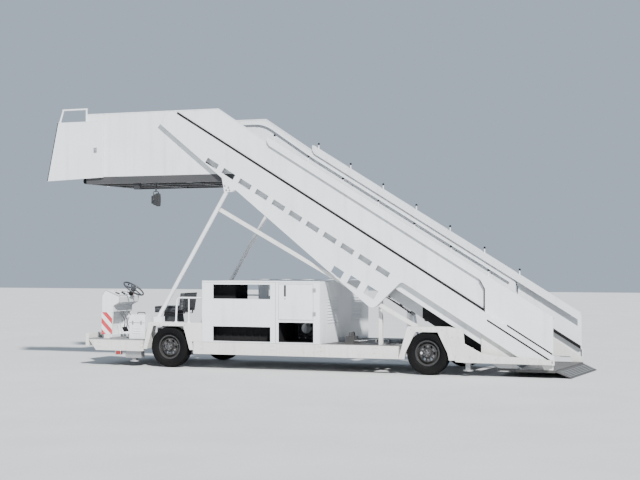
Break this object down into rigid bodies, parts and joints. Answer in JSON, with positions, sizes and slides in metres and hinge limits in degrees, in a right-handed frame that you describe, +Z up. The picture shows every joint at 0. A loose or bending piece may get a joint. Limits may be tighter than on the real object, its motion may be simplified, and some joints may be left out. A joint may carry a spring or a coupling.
{
  "type": "self-propelled passenger stairs",
  "caption": "Self-propelled aircraft passenger stairs: open chassis, fixed side trusses on struts, and a sliding upper flight with a boarding platform.",
  "frame": {"origin": "middle of the footprint, on the ground", "axes": "+X towards the foot of the stairs, -X towards the boarding platform, +Z up"},
  "size_m": [9.14, 2.24, 4.384],
  "materials": {
    "white_paint": "satin",
    "cream_paint": "satin, dirty",
    "dark_steel": "satin",
    "tread_alloy": "ribbed",
    "bright_steel": "polished",
    "tyre": "matte",
    "rubber": "matte",
    "seat_vinyl": "grained",
    "lamp_red": "gloss"
  },
  "bodies": {
    "chassis": {"chassis_frame": "cream_paint", "cross_members": "cream_paint", "sills": "cream_paint", "foot_base": "dark_steel", "front_deck": "dark_steel", "front_bumper": "cream_paint", "front_fenders": "cream_paint", "rear_arches": "cream_paint", "front_axle": "dark_steel", "rear_axle": "dark_steel", "console": "white_paint", "battery_box": "white_paint", "seat_pedestal": "dark_steel", "seat_cushion": "seat_vinyl", "seat_back": "seat_vinyl", "cabinet": "white_paint", "engine_block": "dark_steel", "struts": "white_paint", "braces": "cream_paint", "trusses": "white_paint", "end_panels": "white_paint", "handrails": "white_paint", "lower_stringers": "tread_alloy", "lower_steps": "tread_alloy", "lift_barrel": "bright_steel", "lamps": "lamp_red", "jack_housings": "tread_alloy"},
    "upper_flight": {"flight_sides": "white_paint", "upper_steps": "tread_alloy", "platform_deck": "dark_steel", "platform_panels": "white_paint", "lift_rod": "bright_steel", "work_lamp": "dark_steel", "guide_rollers": "dark_steel", "dock_bumper": "rubber"},
    "guard_left": {"guard_left": "white_paint"},
    "guard_right": {"guard_right": "white_paint"},
    "knuckle_left": {"knuckle_left": "dark_steel"},
    "knuckle_right": {"knuckle_right": "dark_steel"},
    "wheel_front_left": {"tyre_front_left": "tyre", "rim_front_left": "dark_steel"},
    "wheel_front_right": {"tyre_front_right": "tyre", "rim_front_right": "dark_steel"},
    "wheel_rear_left": {"tyre_rear_left": "tyre", "rim_rear_left": "dark_steel"},
    "wheel_rear_right": {"tyre_rear_right": "tyre", "rim_rear_right": "dark_steel"},
    "jack_front_left": {"jack_front_left": "tread_alloy"},
    "jack_front_right": {"jack_front_right": "tread_alloy"},
    "jack_rear_left": {"jack_rear_left": "tread_alloy"},
    "jack_rear_right": {"jack_rear_right": "tread_alloy"},
    "cabinet_door": {"cabinet_door": "white_paint"},
    "foot_flap": {"foot_flap": "dark_steel"},
    "steering_wheel": {"steering_wheel": "dark_steel"}
  },
  "joints": [
    {"name": "flight_slide", "type": "slide", "parent": "chassis", "child": "upper_flight", "axis": [-0.8539, 0, 0.5205], "range_m": [-0.5, 1.5]},
    {"name": "guard_left_slide", "type": "slide", "parent": "upper_flight", "child": "guard_left", "axis": [-1, 0, 0], "range_m": [-0.7, 0.1]},
    {"name": "guard_right_slide", "type": "slide", "parent": "upper_flight", "child": "guard_right", "axis": [-1, 0, 0], "range_m": [-0.7, 0.1]},
    {"name": "steer_left", "type": "hinge", "parent": "chassis", "child": "knuckle_left", "pos_m": [-2.15, -0.8, 0.34], "axis": [0, 0, 1], "range_deg": [-24, 24]},
    {"name": "steer_right", "type": "hinge", "parent": "chassis", "child": "knuckle_right", "pos_m": [-2.15, 0.8, 0.34], "axis": [0, 0, 1], "range_deg": [-24, 24]},
    {"name": "wheel_front_left_roll", "type": "hinge", "parent": "knuckle_left", "child": "wheel_front_left", "pos_m": [-2.15, -0.98, 0.34], "axis": [0, 1, 0], "continuous": true},
    {"name": "wheel_front_right_roll", "type": "hinge", "parent": "knuckle_right", "child": "wheel_front_right", "pos_m": [-2.15, 0.98, 0.34], "axis": [0, 1, 0], "continuous": true},
    {"name": "wheel_rear_left_roll", "type": "hinge", "parent": "chassis", "child": "wheel_rear_left", "pos_m": [2.35, -0.98, 0.34], "axis": [0, 1, 0], "continuous": true},
    {"name": "wheel_rear_right_roll", "type": "hinge", "parent": "chassis", "child": "wheel_rear_right", "pos_m": [2.35, 0.98, 0.34], "axis": [0, 1, 0], "continuous": true},
    {"name": "jack_front_left_slide", "type": "slide", "parent": "chassis", "child": "jack_front_left", "axis": [0, 0, -1], "range_m": [0, 0.079]},
    {"name": "jack_front_right_slide", "type": "slide", "parent": "chassis", "child": "jack_front_right", "axis": [0, 0, -1], "range_m": [0, 0.079]},
    {"name": "jack_rear_left_slide", "type": "slide", "parent": "chassis", "child": "jack_rear_left", "axis": [0, 0, -1], "range_m": [0, 0.079]},
    {"name": "jack_rear_right_slide", "type": "slide", "parent": "chassis", "child": "jack_rear_right", "axis": [0, 0, -1], "range_m": [0, 0.079]},
    {"name": "cabinet_door_hinge", "type": "hinge", "parent": "chassis", "child": "cabinet_door", "pos_m": [0.424, -1.11, 1.11], "axis": [0, 0, 1], "range_deg": [0, 110]},
    {"name": "foot_flap_hinge", "type": "hinge", "parent": "chassis", "child": "foot_flap", "pos_m": [4.3515, 0, 0.098], "axis": [0, -1, 0], "range_deg": [0, 95]},
    {"name": "steering_wheel_turn", "type": "hinge", "parent": "chassis", "child": "steering_wheel", "pos_m": [-3.19, -0.43, 1.29], "axis": [0.5736, 0, 0.8192], "range_deg": [-450, 450]}
  ],
  "couplings": [
    {"joint": "steer_right", "follows": "steer_left", "ratio": 1},
    {"joint": "steering_wheel_turn", "follows": "steer_left", "ratio": 18.75}
  ]
}
